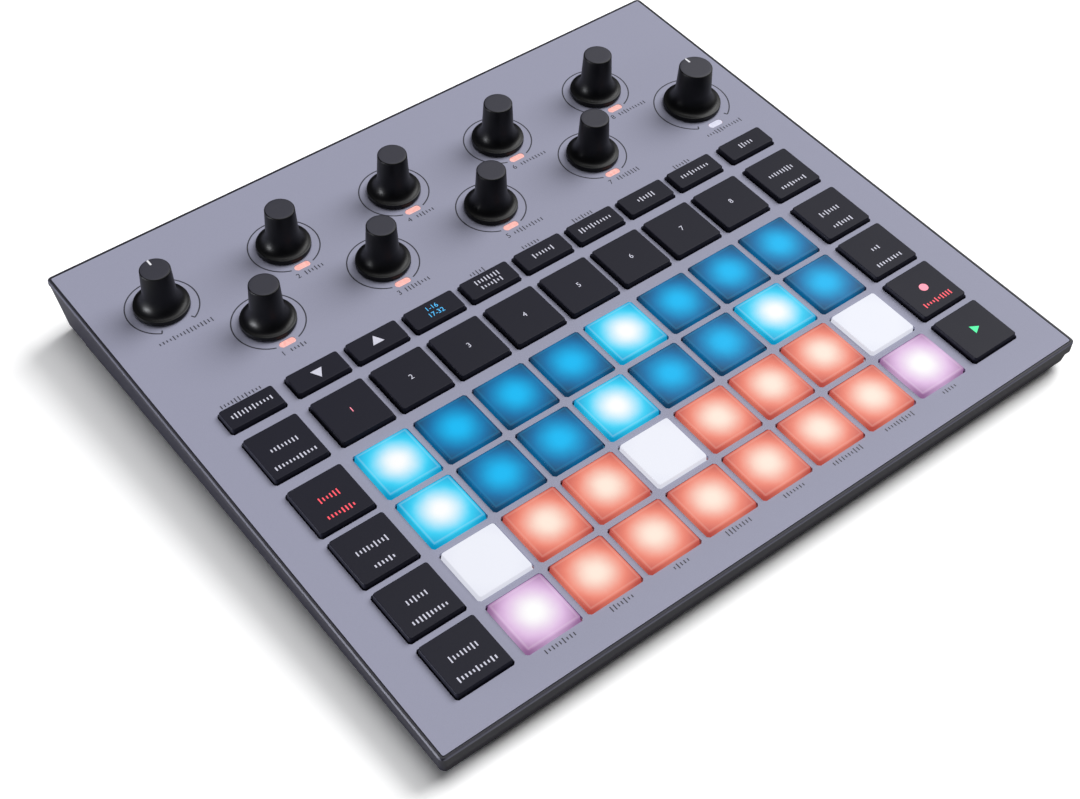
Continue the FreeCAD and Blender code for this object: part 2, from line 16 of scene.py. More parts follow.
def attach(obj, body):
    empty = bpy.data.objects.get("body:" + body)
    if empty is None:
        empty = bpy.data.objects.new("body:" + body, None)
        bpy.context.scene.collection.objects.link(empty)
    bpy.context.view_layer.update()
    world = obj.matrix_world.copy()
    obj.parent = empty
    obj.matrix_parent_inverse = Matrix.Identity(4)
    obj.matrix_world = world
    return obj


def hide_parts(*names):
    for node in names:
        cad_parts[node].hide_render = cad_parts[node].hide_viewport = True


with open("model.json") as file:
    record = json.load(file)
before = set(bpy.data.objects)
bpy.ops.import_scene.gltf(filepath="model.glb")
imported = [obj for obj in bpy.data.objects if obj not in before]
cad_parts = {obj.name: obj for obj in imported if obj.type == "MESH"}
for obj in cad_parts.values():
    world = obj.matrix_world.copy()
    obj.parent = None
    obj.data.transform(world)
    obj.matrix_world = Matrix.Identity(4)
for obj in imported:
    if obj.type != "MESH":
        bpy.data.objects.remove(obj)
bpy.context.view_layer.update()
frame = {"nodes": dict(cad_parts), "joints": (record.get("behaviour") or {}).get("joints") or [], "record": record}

nodes = frame["nodes"]
mm = 0.001

# %% [markdown]
# Everything on this machine is laid out on a panel that leans 3 degrees towards the
# player. Measuring in the panel's own directions makes all later places simple, so the
# tilt is read from a key's joint, and the panel's middle from the faceplate's corners.

# %% Find the panel
press = next(j["axis"] for j in frame["joints"] if j["name"] == "track_key_1_press")
panel_up = -Vector(press)
panel_back = panel_up.cross(Vector((1, 0, 0)))
panel_turn = Matrix((Vector((1, 0, 0)), panel_back, panel_up)).transposed()


def extent(points):
    """Lowest and highest corner of some points."""
    columns = list(zip(*points))
    return Vector(map(min, columns)), Vector(map(max, columns))


low, high = extent([panel_turn.transposed() @ v.co for v in nodes["faceplate"].data.vertices])
panel_middle = panel_turn @ Vector(((low.x + high.x) / 2, (low.y + high.y) / 2, high.z))
panel = Matrix.Translation(panel_middle) @ panel_turn.to_4x4()
panel_tilt = math.asin(panel_back.z)
panel_size = [round(s, 4) for s in high - low]
print("panel tilt", round(math.degrees(panel_tilt), 2), "size", panel_size)

# %% [markdown]
# With the panel known, any node's box can be read in panel coordinates. Every piece
# added later takes its place from this table of boxes.

# %% Read the layout
to_panel = panel.inverted()
boxes = {name: extent([to_panel @ v.co for v in o.data.vertices]) for name, o in nodes.items()}


def middle(node):
    low, high = boxes[node]
    return (low + high) / 2


pitch = middle("track_key_2").x - middle("track_key_1").x
print("pitch", round(pitch / mm, 2), "mm")

# %% [markdown]
# The camera stands at the near left of the machine, a little over half a metre away,
# and looks down at 47 degrees. It was fitted to the pads' corners, so its place and the
# point it aims at are given on the panel. A whisker of roll keeps the edges parallel to
# the photograph's.

# %% Set up the camera
camera_place = Vector((-242.5, -285.7, 400.6)) * mm
camera_aim = Vector((-26.8, -25.4, 0.0)) * mm
camera_roll = math.radians(-0.49)
lens_in_widths = 1774 / 1080
sensor_width = 36.0

camera_data = bpy.data.cameras.new("studio_camera")
camera = bpy.data.objects.new("studio_camera", camera_data)
bpy.context.scene.collection.objects.link(camera)
bpy.context.scene.camera = camera
camera_data.sensor_width = sensor_width
camera_data.lens = sensor_width * lens_in_widths
camera.location = panel @ camera_place
gaze = (panel @ camera_aim) - camera.location
camera.rotation_mode = "QUATERNION"
camera.rotation_quaternion = gaze.to_track_quat("-Z", "Y") @ Quaternion((0, 0, 1), camera_roll)
print("camera", [round(c, 3) for c in camera.location], "lens", round(camera_data.lens, 1))

# %% [markdown]
# Shader networks get long fast. A small class wraps a socket, so that sums and products
# are written as plain expressions. Each of them adds one Math node.

# %% A socket that can be calculated with


class Reading:
    """A number that varies over a surface. Arithmetic on it adds Math nodes."""

    def __init__(self, finish, socket):
        self.finish = finish
        self.socket = socket

    def math(self, operation, *values):
        inputs = {i: v for i, v in enumerate(values)}
        return self.finish.add("ShaderNodeMath", {"operation": operation}, inputs)

    def __add__(self, other):
        return self.math("ADD", self, other)

    def __radd__(self, other):
        return self.math("ADD", other, self)

    def __sub__(self, other):
        return self.math("SUBTRACT", self, other)

    def __rsub__(self, other):
        return self.math("SUBTRACT", other, self)

    def __mul__(self, other):
        return self.math("MULTIPLY", self, other)

    def __truediv__(self, other):
        return self.math("DIVIDE", self, other)

    def __pow__(self, other):
        return self.math("POWER", self, other)

    def __abs__(self):
        return self.math("ABSOLUTE", self)

    def most(self, other):
        return self.math("MAXIMUM", self, other)

    def ease(self, start, end):
        """0 before start, 1 after end, and a soft step between them."""
        names = {"Value": self, "From Min": start, "From Max": end}
        soft = {"interpolation_type": "SMOOTHSTEP"}
        return self.finish.add("ShaderNodeMapRange", soft, names)


print("sockets can be calculated with")

# %% [markdown]
# A second class holds one material. Plain values go straight onto the sockets of its
# Principled shader, and any other node is added through a single method.

# %% A material built node by node


class Finish:
    """A material with one Principled shader, built up node by node."""

    def __init__(self, name, **settings):
        self.material = bpy.data.materials.new(name)
        self.material.use_nodes = True
        self.tree = self.material.node_tree
        self.shader = self.tree.nodes["Principled BSDF"]
        for socket, value in settings.items():
            self.shader.inputs[socket.replace("_", " ")].default_value = value

    def add(self, kind, settings=None, inputs=None, output=0):
        """Adds a node: its settings first, then the values or links of its sockets."""
        node = self.tree.nodes.new(kind)
        for key, value in (settings or {}).items():
            if key == "stops":
                self.set_stops(node.color_ramp, value)
            else:
                setattr(node, key, value)
        for key, value in (inputs or {}).items():
            self.join(value, node.inputs[key])
        return Reading(self, node.outputs[output])

    def set_stops(self, ramp, stops):
        interpolation, colours = stops
        ramp.interpolation = interpolation
        while len(ramp.elements) < len(colours):
            ramp.elements.new(0.5)
        for element, (position, colour) in zip(ramp.elements, colours):
            element.position = position
            element.color = colour

    def join(self, value, socket):
        if isinstance(value, Reading):
            self.tree.links.new(value.socket, socket)
        else:
            socket.default_value = value

    def feed(self, **values):
        for name, value in values.items():
            self.join(value, self.shader.inputs[name.replace("_", " ")])

    def place(self):
        """The point on the object, in metres, in the machine's own frame."""
        return self.add("ShaderNodeTexCoord", None, None, "Object")

    def panel_axes(self, origin, unit=1.0):
        """Distances from a point along the panel's own directions, in a chosen unit."""
        inputs = {"Vector": self.place(), "Location": origin}
        inputs.update({"Rotation": (panel_tilt, 0, 0), "Scale": (unit,) * 3})
        mapped = self.add("ShaderNodeMapping", {"vector_type": "TEXTURE"}, inputs)
        parts = self.add("ShaderNodeSeparateXYZ", None, {0: mapped}).socket.node.outputs
        return [Reading(self, part) for part in parts]

    def noise(self, scale, detail, roughness):
        inputs = {"Vector": self.place(), "Scale": scale}
        inputs.update({"Detail": detail, "Roughness": roughness})
        return self.add("ShaderNodeTexNoise", None, inputs, "Fac")

    def mix(self, amount, first, second):
        """Blends two colours, which a Mix node keeps on its sockets 6 and 7."""
        inputs = {0: amount, 6: first, 7: second}
        return self.add("ShaderNodeMix", {"data_type": "RGBA"}, inputs, 2)

    def bump(self, height, distance, strength):
        inputs = {"Height": height, "Distance": distance, "Strength": strength}
        self.feed(Normal=self.add("ShaderNodeBump", None, inputs))


def ink(red, green, blue):
    """A screen colour, 0 to 255, as the linear colour that a shader takes."""
    return tuple((c / 255) ** 2.2 for c in (red, green, blue)) + (1.0,)


def darkened(colour, share):
    """The same colour with only a share of its light."""
    return tuple(share * c for c in colour[:3]) + (1.0,)


no_light = (0.0, 0.0, 0.0, 1.0)
print("shader helpers ready")

# %% [markdown]
# Every added piece starts as one of Blender's primitives and is shaped in edit mode, in
# the panel's own directions. Faces and edges are chosen by a test of their place and
# direction, and never by their number.

# %% Choose faces and make boxes


def start():
    bpy.ops.object.select_all(action="DESELECT")


def choose(piece, kind, test):
    """Opens edit mode with only those faces or edges chosen that pass a test."""
    mesh = piece.data
    bpy.ops.object.mode_set(mode="EDIT")
    bpy.ops.mesh.select_mode(type=kind)
    bpy.ops.mesh.select_all(action="DESELECT")
    bpy.ops.object.mode_set(mode="OBJECT")
    if kind == "FACE":
        for face in mesh.polygons:
            face.select = test(face.center, face.normal)
    else:
        for edge in mesh.edges:
            a, b = (mesh.vertices[v].co for v in edge.vertices)
            edge.select = test((a + b) / 2, (b - a).normalized())
    bpy.ops.object.mode_set(mode="EDIT")


def box_piece(name, low, high):
    """A cube shaped to fill a box."""
    start()
    bpy.ops.mesh.primitive_cube_add(size=1.0, location=(0, 0, 0))
    piece = bpy.context.object
    piece.name = name
    bpy.ops.object.mode_set(mode="EDIT")
    bpy.ops.mesh.select_all(action="SELECT")
    bpy.ops.transform.resize(value=high - low)
    bpy.ops.transform.translate(value=(low + high) / 2)
    bpy.ops.object.mode_set(mode="OBJECT")
    return piece


print("boxes ready")

# %% [markdown]
# Round parts are spun from a profile. It starts as a single vertex, grows by
# extrusions, and is then turned about the upright axis in small steps.

# %% Spin a profile
smooth_angle = math.radians(35)
weld = 0.002 * mm


def turned(name, profile, steps, sweep=math.tau):
    """Spins a profile of radius and height about the upright axis."""
    start()
    bpy.ops.mesh.primitive_plane_add(size=mm, location=(0, 0, 0))
    piece = bpy.context.object
    piece.name = name
    bpy.ops.object.mode_set(mode="EDIT")
    bpy.ops.mesh.select_mode(type="VERT")
    bpy.ops.mesh.select_all(action="SELECT")
    bpy.ops.mesh.merge(type="CENTER")
    bpy.ops.transform.translate(value=(profile[0][0], 0, profile[0][1]))
    for (r, z), (next_r, next_z) in zip(profile, profile[1:]):
        step = (next_r - r, 0, next_z - z)
        bpy.ops.mesh.extrude_region_move(TRANSFORM_OT_translate={"value": step})
    bpy.ops.mesh.select_all(action="SELECT")
    bpy.ops.mesh.spin(steps=steps, angle=sweep, center=(0, 0, 0), axis=(0, 0, 1))
    bpy.ops.mesh.select_all(action="SELECT")
    bpy.ops.mesh.remove_doubles(threshold=weld)
    if sweep < math.tau:
        bpy.ops.mesh.fill_holes(sides=0)
        bpy.ops.mesh.select_all(action="SELECT")
    bpy.ops.mesh.normals_make_consistent(inside=False)
    bpy.ops.object.mode_set(mode="OBJECT")
    bpy.ops.object.shade_smooth_by_angle(angle=smooth_angle)
    return piece


print("profiles ready")

# %% [markdown]
# A finished model is copied to its place on the panel. The place goes into the mesh, so
# that the object itself stays at the origin.

# %% Join and copy


def joined(name, pieces):
    start()
    for piece in pieces:
        piece.select_set(True)
    bpy.context.view_layer.objects.active = pieces[0]
    bpy.ops.object.join()
    pieces[0].name = name
    return pieces[0]


def copied(model, name, place, turn=0.0):
    """A copy with its own mesh, set on the panel at a place in panel coordinates."""
    piece = model.copy()
    piece.data = model.data.copy()
    piece.name = name
    piece.data.transform(panel @ Matrix.Translation(place) @ Matrix.Rotation(turn, 4, "Z"))
    bpy.context.scene.collection.objects.link(piece)
    return piece


def discard(*models):
    for model in models:
        bpy.data.objects.remove(model)


def moving_body(node):
    return node + "_body"


print("modelling helpers ready")

# %% [markdown]
# The casing is black moulded plastic with a fine spark-eroded grain. The grain is a
# noise well under a millimetre, and a slower one changes the gloss a little, as
# handling does.

# %% Moulded black casing
case_grain = 1 / (0.45 * mm)
grain_depth = 0.02 * mm
handling = 28.0


def moulded(name, colour, roughness, grain=case_grain, depth=grain_depth, gloss=0.5):
    """Plastic with a fine grain and a slow change of gloss."""
    finish = Finish(name, Specular_IOR_Level=gloss)
    fine = finish.noise(grain, 3.0, 0.6)
    slow = finish.noise(handling, 3.0, 0.5)
    finish.feed(Base_Color=finish.mix(slow, darkened(colour, 0.8), colour))
    finish.feed(Roughness=roughness + (slow - 0.5) * 0.12 + (fine - 0.5) * 0.08)
    finish.bump(fine, depth, 0.5)
    return finish.material


def dress(material, *names):
    """Puts a material on whole CAD nodes."""
    for name in names:
        nodes[name].data.materials.clear()
        nodes[name].data.materials.append(material)


case_black = moulded("case_black", ink(40, 39, 50), 0.6, gloss=0.25)
dress(case_black, "bottom_shell")
print("bottom shell dressed")

# %% [markdown]
# The frame round the panel has a small bevel along its outer edge. Its colour is painted
# much lighter there as a painted highlight, and it is also glossier and smoother. A mask
# finds that edge from its place on the panel: it is the distance to the nearest side,
# measured in the panel's own directions.

# %% Painted highlight on the frame's edge
edge_low, edge_high = boxes["top_case"]
edge_middle = (edge_low + edge_high) / 2
edge_finish = Finish("frame_black", Specular_IOR_Level=0.4)
edge_origin = panel @ Vector((edge_middle.x, edge_middle.y, 0))
sideways, along_depth, above = edge_finish.panel_axes(edge_origin)
half_size = edge_high - edge_middle
reach = (abs(sideways) - half_size.x).most(abs(along_depth) - half_size.y)
patch = edge_finish.noise(60.0, 3.0, 0.6)
grain_height = edge_finish.noise(case_grain, 3.0, 0.6)
near_side = reach.ease(-0.5 * mm, -0.15 * mm)
near_top = above.ease(edge_high.z - 0.7 * mm, edge_high.z - 0.35 * mm)
# Painted highlight: the bevel band is coloured much lighter, and is also glossier and smoother.
painted_highlight_band = near_side * near_top * (0.75 + patch * 0.25)
edge_finish.feed(Base_Color=edge_finish.mix(painted_highlight_band, ink(36, 35, 45), ink(104, 104, 118)))
edge_finish.feed(Roughness=0.55 - painted_highlight_band * 0.2)
edge_finish.bump(grain_height * (1 - painted_highlight_band), grain_depth, 0.5)
dress(edge_finish.material, "top_case")
print("casing dressed")

# %% [markdown]
# The faceplate is sprayed lilac grey. Metallic lacquer has flakes too small to see one
# by one, which show as a very fine mottling under a satin top coat.

# %% Sprayed faceplate
panel_finish = Finish("panel_grey", Specular_IOR_Level=0.2)
flakes = panel_finish.noise(1 / (0.2 * mm), 2.0, 0.7)
clouds = panel_finish.noise(14.0, 3.0, 0.5)
panel_finish.feed(Base_Color=panel_finish.mix(flakes, ink(146, 147, 167), ink(160, 161, 182)))
panel_finish.feed(Roughness=0.56 + (clouds - 0.5) * 0.08 + (flakes - 0.5) * 0.1)
panel_finish.bump(flakes, 0.005 * mm, 0.5)
dress(panel_finish.material, "faceplate")
print("faceplate dressed")

# %% [markdown]
# A key cap leans in a little towards its top and its edges are rounded just enough to
# catch a line of light. One cap of each size is modelled and then copied to every key.
# The flange under the panel is part of the cap, as it is on the real key.

# %% Model the caps
cap_corner = 0.9 * mm
cap_edge = 0.28 * mm
cap_lean = 0.25 * mm
cap_smooth = math.radians(32)


def points_of(node, reach=None):
    """A node's points in panel coordinates, or those of its leftmost cap alone."""
    points = [to_panel @ v.co for v in nodes[node].data.vertices]
    left = boxes[node][0].x
    return [p for p in points if reach is None or p.x < left + reach]


def cap_model(node, corner, edge, reach=None):
    """A cap with the CAD cap's outlines, centred on its own middle at panel height 0."""
    points = points_of(node, reach)
    low, high = extent(points)
    centre = Vector(((low.x + high.x) / 2, (low.y + high.y) / 2, 0))
    levels = sorted({round(p.z, 6) for p in points})
    shoulder = levels[1]
    top_low, top_high = extent([p for p in points if abs(p.z - high.z) < 0.01 * mm])
    lean = Vector((1, 1, 0)) * cap_lean
    body_low = Vector((top_low.x, top_low.y, shoulder)) - lean - centre
    body_high = Vector((top_high.x, top_high.y, high.z)) + lean - centre
    body = box_piece("cap_model", body_low, body_high)
    choose(body, "FACE", lambda centre, normal: normal.z > 0.9)
    shrink = [1 - 2 * lean[i] / (body_high[i] - body_low[i]) for i in (0, 1)]
    bpy.ops.transform.resize(value=(shrink[0], shrink[1], 1))
    choose(body, "EDGE", lambda middle, along: abs(along.z) > 0.9)
    bpy.ops.mesh.bevel(offset=corner, segments=6, affect="EDGES")
    choose(body, "FACE", lambda centre, normal: normal.z > 0.9)
    bpy.ops.mesh.region_to_loop()
    bpy.ops.mesh.bevel(offset=edge, segments=3, affect="EDGES")
    bpy.ops.object.mode_set(mode="OBJECT")
    flange_high = Vector((high.x, high.y, shoulder)) - centre
    flange = box_piece("flange_model", low - centre, flange_high)
    model = joined("cap_model", [body, flange])
    bpy.ops.object.shade_smooth_by_angle(angle=cap_smooth)
    for face in model.data.polygons:
        face.use_smooth = face.normal.z < 0.999
    return model


modelled = ("track_key_1", "top_key_1")
key_models = {node: cap_model(node, cap_corner, cap_edge) for node in modelled}
print("cap models:", [len(m.data.polygons) for m in key_models.values()], "faces")

# %% [markdown]
# The keys are dark caps, smoother than the case, so they take only a soft sheen from
# the sky of the studio. Every copy replaces its CAD cap and rides on that key's body.

# %% Place the keys
key_names = [n for n in nodes if "_key_" in n]
key_dark = moulded("key_dark", ink(27, 27, 41), 0.55, 1 / (0.3 * mm), 0.006 * mm, 0.22)
for model in key_models.values():
    model.data.materials.append(key_dark)
for node in key_names:
    model = key_models["top_key_1" if node.startswith("top") else "track_key_1"]
    key = copied(model, node + "_cap", Vector((middle(node).x, middle(node).y, 0)))
    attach(key, moving_body(node))
    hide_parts(node)
discard(*key_models.values())
dress(key_dark, "power_button", *key_names)
print(len(key_names), "keys placed")

# %% [markdown]
# Each pad is a block of milky silicone with a coloured light under its middle. Three
# colours describe it: those of the core, the body and the corners.

# %% Colours of the pads
bright_blue = (ink(255, 255, 255), ink(56, 212, 250), ink(0, 156, 206))
deep_blue = (ink(0, 184, 244), ink(0, 112, 168), ink(28, 62, 92))
lit_red = (ink(255, 234, 218), ink(240, 134, 114), ink(188, 80, 72))
lit_lilac = (ink(255, 255, 255), ink(222, 184, 226), ink(150, 104, 152))
plain_white = (ink(238, 240, 250), ink(238, 240, 250), ink(232, 234, 246))
rows = {
    "pad_row_1": [deep_blue] * 8,
    "pad_row_2": [deep_blue] * 8,
    "pad_row_3": [plain_white] + [lit_red] * 2 + [plain_white] + [lit_red] * 3 + [plain_white],
    "pad_row_4": [lit_lilac] + [lit_red] * 6 + [lit_lilac],
}
for node, columns in (("pad_row_1", (0, 4)), ("pad_row_2", (0, 3, 6))):
    for column in columns:
        rows[node][column] = bright_blue
print("colours chosen for", len(rows), "rows")

# %% [markdown]
# The light is strongest at the centre and falls off towards the edges, so the shader
# measures the distance from each pad's own middle, in pitches. The colours come from
# ramps with hard steps, one step for each column. A faint line runs near the rim.

# %% Light inside the pads
emitted = 0.75
rim_share = 0.09


def stepped(finish, along, colours):
    """A colour for each column, along a scale from 0 to 8."""
    stops = [(i / 8, colour) for i, colour in enumerate(colours)]
    return finish.add("ShaderNodeValToRGB", {"stops": ("CONSTANT", stops)}, {0: along / 8})


def lit_row(node, colours):
    settings = {"Roughness": 0.4, "Specular_IOR_Level": 0.2, "Emission_Strength": 1.0}
    finish = Finish(node + "_light", **settings)
    centre = middle(node)
    origin = panel @ Vector((centre.x - 4 * pitch, centre.y, 0))
    along, back = finish.panel_axes(origin, pitch)[:2]
    across = along.math("FRACT", along) - 0.5
    cloud = finish.noise(1 / (4.0 * mm), 2.0, 0.5)
    distance = (across * across + back * back) ** 0.5 + (cloud - 0.5) * 0.05
    core, body, corner = (stepped(finish, along, [c[i] for c in colours]) for i in range(3))
    lit = finish.mix(distance.ease(0.04, 0.43), core, body)
    lit = finish.mix(distance.ease(0.32, 0.64), lit, corner)
    square = abs(across).most(abs(back))
    rim = square.ease(0.375, 0.385) * (1 - square.ease(0.4, 0.41))
    lit = finish.mix(rim * rim_share, lit, core)
    finish.feed(Base_Color=finish.mix(emitted, lit, no_light))
    finish.feed(Emission_Color=finish.mix(1 - emitted, lit, no_light))
    finish.bump(finish.noise(1 / (0.25 * mm), 2.0, 0.6), 0.006 * mm, 0.4)
    return finish.material


print("pad light ready")

# %% [markdown]
# One pad is modelled, copied along the row and joined, because the eight pads of a row
# ride on one body. Each row takes its own material, which knows the row's colours.

# %% Place the pads
pad_edge = 0.3 * mm
pad_model = cap_model("pad_row_1", cap_corner, pad_edge, 0.95 * pitch)
for node, colours in rows.items():
    material = lit_row(node, colours)
    dress(material, node)
    pads = []
    for column in range(8):
        place = Vector((middle(node).x + (column - 3.5) * pitch, middle(node).y, 0))
        pads.append(copied(pad_model, "pad", place))
    row = joined(node + "_caps", pads)
    row.data.materials.append(material)
    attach(row, moving_body(node))
    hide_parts(node)
discard(pad_model)
print("pads lit")

# %% [markdown]
# The knobs are turned: one profile is spun about the spindle's axis. The grip widens a
# little on its way down and then flows into the skirt, so its lower part is an arc. The
# skirt ends in a thin lip. The spindle below it is drawn with the knob.

# %% Profile of a knob
spindle = 3.0 * mm
knob_names = [n for n in nodes if n.endswith("_knob") or n.startswith("macro_knob")]


def knob_profile(grip, skirt, high, low, tip):
    """Radius and height from the middle of the top to the spindle's tip."""
    soft = 0.35 * mm
    neck = grip + 0.45 * mm
    arc_top = 7.4 * mm
    arc_low = 1.95 * mm
    lip = skirt - 0.25 * mm
    points = [(0.0, high), (grip - 1.2 * mm, high), (grip - soft, high)]
    for step in range(1, 5):
        angle = math.radians(22.5 * step)
        outward, upward = soft * math.sin(angle), soft * math.cos(angle)
        points.append((grip - soft + outward, high - soft + upward))
    for step in range(15):
        angle = math.radians(90 * step / 14)
        radius = lip - (lip - neck) * math.cos(angle)
        points.append((radius, arc_top - (arc_top - arc_low) * math.sin(angle)))
    points += [(skirt - 0.08 * mm, arc_low - 0.1 * mm), (skirt, arc_low - 0.35 * mm)]
    points += [(skirt, low + 0.15 * mm), (skirt - 0.15 * mm, low), (spindle, low)]
    return points + [(spindle, tip), (0.0, tip)]


print(len(knob_names), "knobs to turn")

# %% [markdown]
# The knobs are black plastic. Their tops are painted paler in a material of their own, a
# painted highlight for the light overhead, and the two knobs with end stops carry a white
# pointer.

# %% Finishes of the knobs
knob_finish = Finish("knob_black", Specular_IOR_Level=0.24)
dust = knob_finish.noise(1 / (0.3 * mm), 3.0, 0.6)
wear = knob_finish.noise(60.0, 3.0, 0.5)
knob_finish.feed(Base_Color=knob_finish.mix(wear, ink(6, 6, 10), ink(11, 11, 16)))
knob_finish.feed(Roughness=0.4 + (wear - 0.5) * 0.1 + (dust - 0.5) * 0.06)
knob_finish.bump(dust, 0.003 * mm, 0.4)

# Painted highlight: the knob tops are coloured paler to stand for the light from overhead.
knob_top_painted_highlight = moulded("knob_top_painted_highlight", ink(48, 48, 60), 0.55, 1 / (0.3 * mm), 0.004 * mm)

pointer_white = Finish("pointer_white", Roughness=0.5)
chalk = pointer_white.noise(1 / (0.4 * mm), 2.0, 0.5)
pointer_white.feed(Base_Color=pointer_white.mix(chalk, ink(225, 225, 232), ink(245, 245, 250)))
print("knob finishes ready")

# %% [markdown]
# Every knob is spun at its own size and rides on its own body. The faces of its top get
# the second material. A pointer lies on the top and turns with its knob.

# %% Turn the knobs
knob_steps = 96
knob_gap = 0.4 * mm
filter_grip, plain_grip = 5.7 * mm, 4.8 * mm

for node in knob_names:
    low, high = boxes[node]
    at = Vector((middle(node).x, middle(node).y, 0))
    skirt = (high.x - low.x) / 2
    grip = filter_grip if node == "filter_knob" else plain_grip
    profile = knob_profile(grip, skirt, high.z, knob_gap, low.z)
    model = turned("knob_model", profile, knob_steps)
    model.data.materials.append(knob_finish.material)
    model.data.materials.append(knob_top_painted_highlight)
    for face in model.data.polygons:
        on_top = face.normal.z > 0.99 and face.center.z > high.z - 0.02 * mm
        face.material_index = 1 if on_top else 0
    knob = copied(model, node + "_turned", at)
    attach(knob, moving_body(node))
    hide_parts(node)
    discard(model)
    if not node.startswith("macro"):
        half = Vector((0.3, 1.15, 0.02)) * mm
        line = box_piece("pointer_model", -half, half)
        line.data.materials.append(pointer_white.material)
        spot = at + Vector((0, grip - 0.3 * mm - half.y, high.z + half.z))
        pointer = copied(line, node + "_pointer", spot)
        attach(pointer, moving_body(node))
        discard(line)
dress(knob_finish.material, *knob_names)
print(len(knob_names), "knobs turned")

# %% [markdown]
# The lamps in front of the knobs are pills of clear plastic that glow salmon pink, and
# the one at the filter knob is white. Each is a box with its ends rounded by bevels,
# set just under the panel's face over the nose of its light pipe.

# %% Lamps
lamp_length = 5.4 * mm
lamp_width = 2.3 * mm
lamp_depth = -0.17 * mm


def lamp_finish(name, core, edge, strength):
    finish = Finish(name, Roughness=0.3, Emission_Strength=strength)
    spark = finish.noise(1 / (0.9 * mm), 2.0, 0.5)
    glow = finish.mix(spark, edge, core)
    finish.feed(Base_Color=finish.mix(0.8, glow, no_light))
    finish.feed(Emission_Color=glow)
    return finish.material


lamp_pink = lamp_finish("lamp_pink", ink(255, 212, 204), ink(250, 150, 142), 0.85)
lamp_white = lamp_finish("lamp_white", ink(240, 240, 255), ink(206, 206, 232), 0.8)
dress(lamp_pink, "light_pipes")

pipe_points = points_of("light_pipes")
nose_top = max(p.z for p in pipe_points)
noses = {}
for p in pipe_points:
    if nose_top - p.z < 0.01 * mm:
        noses.setdefault(round(p.x / pitch * 2), []).append(p)
lamps = [sum(group, Vector()) / len(group) for group in noses.values()]
lamps.sort(key=lambda p: p.x)

half = Vector((lamp_length, lamp_width, 0.3 * mm)) / 2
pill = box_piece("pill_model", -half, half)
choose(pill, "EDGE", lambda middle, along: abs(along.z) > 0.9)
bpy.ops.mesh.bevel(offset=lamp_width * 0.499, segments=8, affect="EDGES")
choose(pill, "FACE", lambda centre, normal: normal.z > 0.9)
bpy.ops.mesh.region_to_loop()
bpy.ops.mesh.bevel(offset=0.12 * mm, segments=2, affect="EDGES")
bpy.ops.object.mode_set(mode="OBJECT")
for number, lamp in enumerate(lamps, 1):
    cover = copied(pill, "lamp_cover_%d" % number, Vector((lamp.x, lamp.y, lamp_depth)))
    cover.data.materials.append(lamp_white if number == len(lamps) else lamp_pink)
    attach(cover, "case")
discard(pill)
print(len(lamps), "lamps set in the panel")

# %% [markdown]
# The print on the panel is a thin ring round each knob. A macro knob's ring is open
# where its lamp sits. The rings of the volume and filter knobs end in short ticks that
# mark the ends of their travel. A small upright section is spun about the axis.

# %% Rings round the knobs


def printed_ink(name, colour, glow=0.0):
    finish = Finish(name, Roughness=0.55, Emission_Strength=glow)
    patch = finish.noise(1 / (0.5 * mm), 2.0, 0.5)
    shade = finish.mix(patch, darkened(colour, 0.86), colour)
    finish.feed(Base_Color=shade, Emission_Color=shade)
    return finish.material


ink_dark = printed_ink("ink_dark", ink(46, 46, 58))
film_height = 0.03 * mm
line_width = 0.42 * mm
ring_radius, filter_ring_radius = 11.45 * mm, 13.0 * mm
tick_length = 1.3 * mm


def ring_print(node, radius, opening, tick):
    """A ring that is open by an angle on each side of the front, with ticks if asked."""
    name = node + "_ring"
    inner, outer = radius - line_width / 2, radius + line_width / 2
    section = [(inner, 0), (outer, 0), (outer, film_height), (inner, film_height), (inner, 0)]
    sweep = math.tau - 2 * opening
    pieces = [turned("ring_model", section, 90, sweep)]
    pieces[0].data.transform(Matrix.Rotation(-opening - math.pi / 2, 4, "Z"))
    if tick:
        half = Vector((tick / 2, line_width / 2, film_height / 2))
        for side in (opening, -opening):
            mark = box_piece("tick_model", -half, half)
            middle_of_tick = Vector((radius - tick / 2, 0, film_height / 2))
            spin = Matrix.Rotation(side - math.pi / 2, 4, "Z")
            mark.data.transform(spin @ Matrix.Translation(middle_of_tick))
            pieces.append(mark)
    model = joined(name, pieces)
    model.data.materials.append(ink_dark)
    print_piece = copied(model, name, Vector((middle(node).x, middle(node).y, 0)))
    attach(print_piece, "case")
    discard(model)


for node in knob_names:
    radius = filter_ring_radius if node == "filter_knob" else ring_radius
    if node.startswith("macro"):
        ring_print(node, radius, math.radians(20), 0.0)
    else:
        ring_print(node, radius, math.radians(30), tick_length)
print("rings printed")

# %% [markdown]
# The keys and the panel carry plain marks: numerals, arrows, and rows of small level
# bars. A row is a line of thin boxes whose heights come from a seeded choice, so every
# key gets its own pattern. A spot is a place together with the body that it rides on.

# %% Ways to print
dice = random.Random(21)
bar_step = 1.2 * mm
thin_line, plain_line, bold_line = 0.34 * mm, 0.4 * mm, 0.45 * mm


def on_key(node, y=0.0):
    centre = middle(node)
    return Vector((centre.x, centre.y + y * mm, boxes[node][1].z)), moving_body(node)


def on_panel(x, y):
    return Vector((x, y, 0)), "case"


def numeral(name, text, size, spot, material):
    place, body = spot
    start()
    bpy.ops.object.text_add(location=(0, 0, 0))
    letter = bpy.context.object
    letter.data.body = text
    letter.data.size = size
    letter.data.align_x = "CENTER"
    letter.data.align_y = "CENTER"
    letter.data.extrude = film_height / 2
    bpy.ops.object.convert(target="MESH")
    letter.data.materials.append(material)
    sign = copied(letter, name, place + Vector((0, 0, film_height / 2)))
    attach(sign, body)
    discard(letter)


